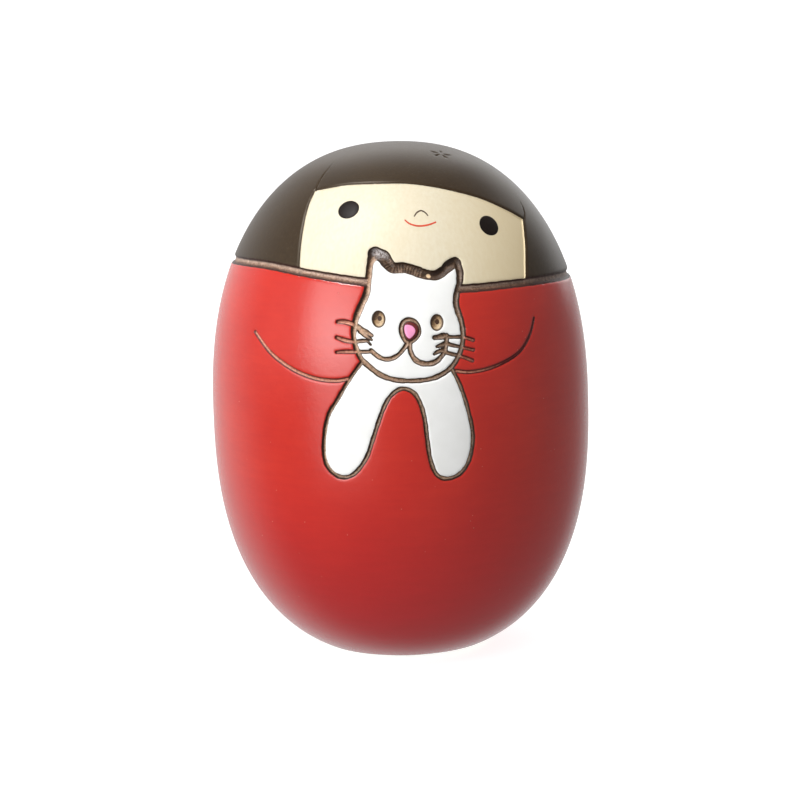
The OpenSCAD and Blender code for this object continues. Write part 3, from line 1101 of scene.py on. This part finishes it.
def groove_wood(name, pale, middle, dark, scorch_and_shade, burn, dark_wall_share):
    """Carved wood with painted light and shade on its walls: pale on the wall that faces the light, painted
    dark up the shaded wall, and scorched along its edges. On the collar the upper wall is pale, as a painted
    highlight, and the lower wall dark.

    A point's char says how dark its floor is. burn is how far in the edges are scorched, and dark_wall_share is
    how strongly the dark wall is painted."""
    n = Finish(name)
    rough_cut = n.noise(0.3, 4, 0.7)
    waver = n.math("SUBTRACT", n.noise(0.8, 3, 0.6), FELT)
    painted_wall_light = n.math("ADD", n.value("painted_wall_light"), n.times(n.math("SUBTRACT", rough_cut, FELT), 1.4))
    # Painted light: the pale wood on the wall that faces the light, and on the collar its upper wall as a
    # painted highlight
    colour = n.mix(n.ramp(painted_wall_light, -0.8, 0.2), pale, middle)
    colour = n.over(colour, dark, n.ramp(n.noise(0.35, 3, 0.75), 0.52, 0.62), 0.55)
    colour = n.mix(n.math("ADD", n.value("char"), n.times(waver, 1.1), clamp=True), colour, dark)
    # Painted shade: the scorch colour up the shaded wall; on the collar, up its lower wall
    colour = n.over(colour, scorch_and_shade, n.ramp(painted_wall_light, 0.05, 0.5), dark_wall_share)
    # Painted sheen: a grey-white patch on the forehead line near the left ear of the front view
    sheen_spot = n.times(n.ramp(n.value("sheen_spot"), SHEEN_SPOT_R, SHEEN_SPOT_R * 0.3), n.ramp(rough_cut, 0.4, 0.6))
    colour = n.over(colour, (214, 208, 208), sheen_spot, 0.85)
    colour = n.mix(n.ramp(n.value("chip"), CHIP_R * 1.1, CHIP_R * 0.8), colour, (236, 204, 164))
    from_edge = n.math("ADD", n.times(n.value("edge"), -1.0), n.times(waver, 0.12))
    colour = n.mix(n.ramp(from_edge, burn, burn * 0.4), colour, scorch_and_shade)
    n.bump(rough_cut, 0.07)
    return n.done(colour, n.between(rough_cut, 0.34, 0.62))


def cat_material():
    n = Finish("cat_paint")
    colour = n.mix(n.ramp(n.noise(4), 0.35, 0.7), (244, 244, 242), (238, 238, 235))
    brush = n.noise(0.5, 3, 0.6, (4, 4, 1))
    n.bump(brush, 0.012)
    return n.done(colour, n.between(brush, 0.42, 0.55), 0.4)


def paint(name, colour, roughness, shade=0.8, specular=0.4):
    """A plain paint, in clouds of its colour and of shade times it."""
    n = Finish(name)
    cloud = n.noise(0.8)
    mixed = n.mix(n.ramp(cloud, 0.3, 0.7), colour, colour, shade)
    n.bump(cloud, 0.01)
    return n.done(mixed, n.between(cloud, roughness, roughness + 0.1), specular)


bare_wood = sanded_wood("bare_wood", (222, 213, 190), (212, 197, 164), warm=(234, 212, 166))
eye_enamel = paint("eye_enamel", (28, 19, 16), 0.4, 0.7, 0.15)
ink = paint("brown_ink", (70, 44, 26), 0.5)

# Each kind of carved line: its pale wood, painted on the lit wall as painted light, its middle and dark wood,
# its scorch colour, also painted up the shaded wall as painted shade, then burn and dark_wall_share
GROOVES = {
    "collar": ((244, 212, 190), (150, 112, 88), (70, 46, 34), (56, 28, 20), 0.36, 0.9),
    "cat": ((252, 224, 204), (196, 152, 114), (64, 44, 28), (46, 26, 12), 0.24, 0.95),
    "robe": ((246, 190, 168), (220, 146, 112), (120, 32, 26), (78, 12, 10), 0.2, 0.75),
    "eye": ((222, 198, 160), (170, 134, 92), (110, 76, 46), (66, 42, 22), 0.36, 0.95),
}

# Each piece's material, the record's slot it belongs to, and the CAD node it stands for
FINISH = {
    "hair_coat": (hair_material(), "hair_lacquer", "hair_lacquer"),
    "robe_coat": (robe_material(), "robe_lacquer", "robe_lacquer"),
    "cat_coat": (cat_material(), "cat_paint", "cat_paint"),
    # The robe's red lacquer left inside the nose ring, painted dark maroon as painted shade round the pink nose
    "nose_ground": (paint("nose_ground", (104, 34, 30), 0.4), "robe_lacquer", None),
    "nose_drop": (paint("cat_nose_paint", (246, 158, 200), 0.4, 0.9), "cat_nose_paint", "cat_nose"),
    "cat_pupil_dots": (ink, "ink", "cat_pupils"),
    "left_eye_drop": (eye_enamel, "eye_enamel", "left_eye"),
    "right_eye_drop": (eye_enamel, "eye_enamel", "right_eye"),
    "nose_stroke": (ink, "ink", "nose_line"),
    "smile_stroke": (paint("smile_paint", (214, 78, 48), 0.5), "smile_paint", "smile_line"),
    "head_block": (bare_wood, "bare_wood", "head"),
    "body_block": (bare_wood, "bare_wood", "body"),
}
for kind, (*colours, burn, dark_wall_share) in GROOVES.items():
    wooden = groove_wood(kind + GROOVE + "_wood", *colours, burn, dark_wall_share)
    FINISH[kind + GROOVE] = (wooden, "bare_wood", None)
for name, (material, slot, node) in FINISH.items():
    made[name].data.materials.append(material)
    if node:
        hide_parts(node)
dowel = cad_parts["neck_dowel"]
dowel.data.materials.clear()
dowel.data.materials.append(sanded_wood("dowel_wood", (214, 184, 140), (190, 152, 104)))

# ---- floor, light and camera


SWEEP_GLOW = 0.85  # the sweep is lit from behind, like a light table
SWEEP_SIDE = 900.0
SWEEP_BACK = 500.0  # where the floor starts to curve up
SWEEP_R = 300.0
SWEEP_TOP = 1200.0
SWEEP_STEPS = 12


def stage_floor():
    """A pale sweep: a floor that curves up behind the doll."""
    profile = [(-SWEEP_SIDE, 0.0)]
    for a in np.linspace(0, math.pi / 2, SWEEP_STEPS + 1):
        profile.append((SWEEP_BACK + SWEEP_R * math.sin(a), SWEEP_R * (1 - math.cos(a))))
    profile.append((SWEEP_BACK + SWEEP_R, SWEEP_TOP))
    verts = [(x * MM, y * MM, z * MM) for y, z in profile for x in (-SWEEP_SIDE, SWEEP_SIDE)]
    faces = [(2 * i, 2 * i + 1, 2 * i + 3, 2 * i + 2) for i in range(len(profile) - 1)]
    mesh = bpy.data.meshes.new("sweep")
    mesh.from_pydata(verts, [], faces)
    mesh.polygons.foreach_set("use_smooth", [True] * len(faces))
    n = Finish("sweep")
    n.shader.inputs["Emission Color"].default_value = (1, 1, 1, 1)
    n.shader.inputs["Emission Strength"].default_value = SWEEP_GLOW
    mesh.materials.append(n.done((190, 190, 190), 0.9, 0.1))
    obj = placed("sweep", mesh)
    obj.visible_diffuse = False
    obj.visible_glossy = False


MIDDLE = Vector((0, 0, RING_H))
LIGHT_DISTANCE = 500.0
LIGHTS = [  # degrees round to the viewer's left of the front, degrees up, watts, size
    ("key", 42, 22, 1.15, 300.0),
    ("high_key", 46, 64, 1.7, 120.0),
    ("side", 75, 15, 0.12, 300.0),
    ("low_fill", 35, 4, 0.55, 300.0),
    ("back", 180, 40, 0.3, 300.0),
    ("back_right", -150, 20, 0.3, 300.0),
]


def soft_light(name, left, lift, power, size):
    """A square light that faces the middle of the doll."""
    turn, rise = math.radians(left), math.radians(lift)
    way = Vector((-math.sin(turn) * math.cos(rise), -math.cos(turn) * math.cos(rise), math.sin(rise)))
    data = bpy.data.lights.new(name, "AREA")
    data.size = size * MM
    data.energy = power
    obj = placed(name, data)
    obj.location = (MIDDLE + way * LIGHT_DISTANCE) * MM
    obj.rotation_euler = (-way).to_track_quat("-Z", "Y").to_euler()


ROOM_LIGHT = 0.37
BACKDROP_LIGHT = 0.6
BACKDROP_WAY = (-0.4, 0.9, -0.1)  # the white wall is behind the doll, a little to the viewer's left
BACKDROP_EDGES = (0.3, 0.9)
FLOOR_LIGHT = 0.06
FLOOR_EDGES = (-0.3, -0.9)


def light_room():
    """Even light from all round, brighter from the wall behind and a little from the floor."""
    world = bpy.data.worlds.new("studio")
    bpy.context.scene.world = world
    n = Nodes(world, "Generated")
    along = n.add("ShaderNodeVectorMath", operation="DOT_PRODUCT")
    n.put(along.inputs[0], n.place)
    along.inputs[1].default_value = BACKDROP_WAY
    wall = n.ramp(along.outputs["Value"], *BACKDROP_EDGES, steps="SMOOTHSTEP")
    room = n.between(wall, ROOM_LIGHT, ROOM_LIGHT + BACKDROP_LIGHT)
    floor = n.between(n.ramp(n.axis("Z"), *FLOOR_EDGES), 0, FLOOR_LIGHT)
    background = n.tree.nodes["Background"]
    background.inputs["Color"].default_value = (1, 1, 1, 1)
    n.put(background.inputs["Strength"], n.math("ADD", room, floor))


stage_floor()
for light in LIGHTS:
    soft_light(*light)
light_room()
bpy.context.scene.view_settings.view_transform = "Standard"

CAMERA_DISTANCE = 400.0
CAMERA_LIFT = 10.0  # degrees above the horizontal
CAMERA_ROLL = 1.55
CAMERA_AIM = (-0.11, 0.57)  # how far to the right of and over the doll's middle the camera aims
FRAME_WIDTH = 123.96  # of the view at that distance
SENSOR = 36.0


def place_camera():
    lift = math.radians(CAMERA_LIFT)
    right = Vector((1, 0, 0))
    back = Vector((0, -math.cos(lift), math.sin(lift)))
    up = Vector((0, math.sin(lift), math.cos(lift)))
    target = MIDDLE + right * CAMERA_AIM[0] + up * CAMERA_AIM[1]
    data = bpy.data.cameras.new("camera")
    obj = placed("camera", data)
    obj.location = (target + back * CAMERA_DISTANCE) * MM
    roll = Matrix.Rotation(math.radians(-CAMERA_ROLL), 3, "Z")
    obj.rotation_euler = (Matrix((right, up, back)).transposed() @ roll).to_euler()
    data.sensor_width = SENSOR
    data.lens = SENSOR * CAMERA_DISTANCE / FRAME_WIDTH
    data.clip_start = 10 * MM
    bpy.context.scene.camera = obj


place_camera()
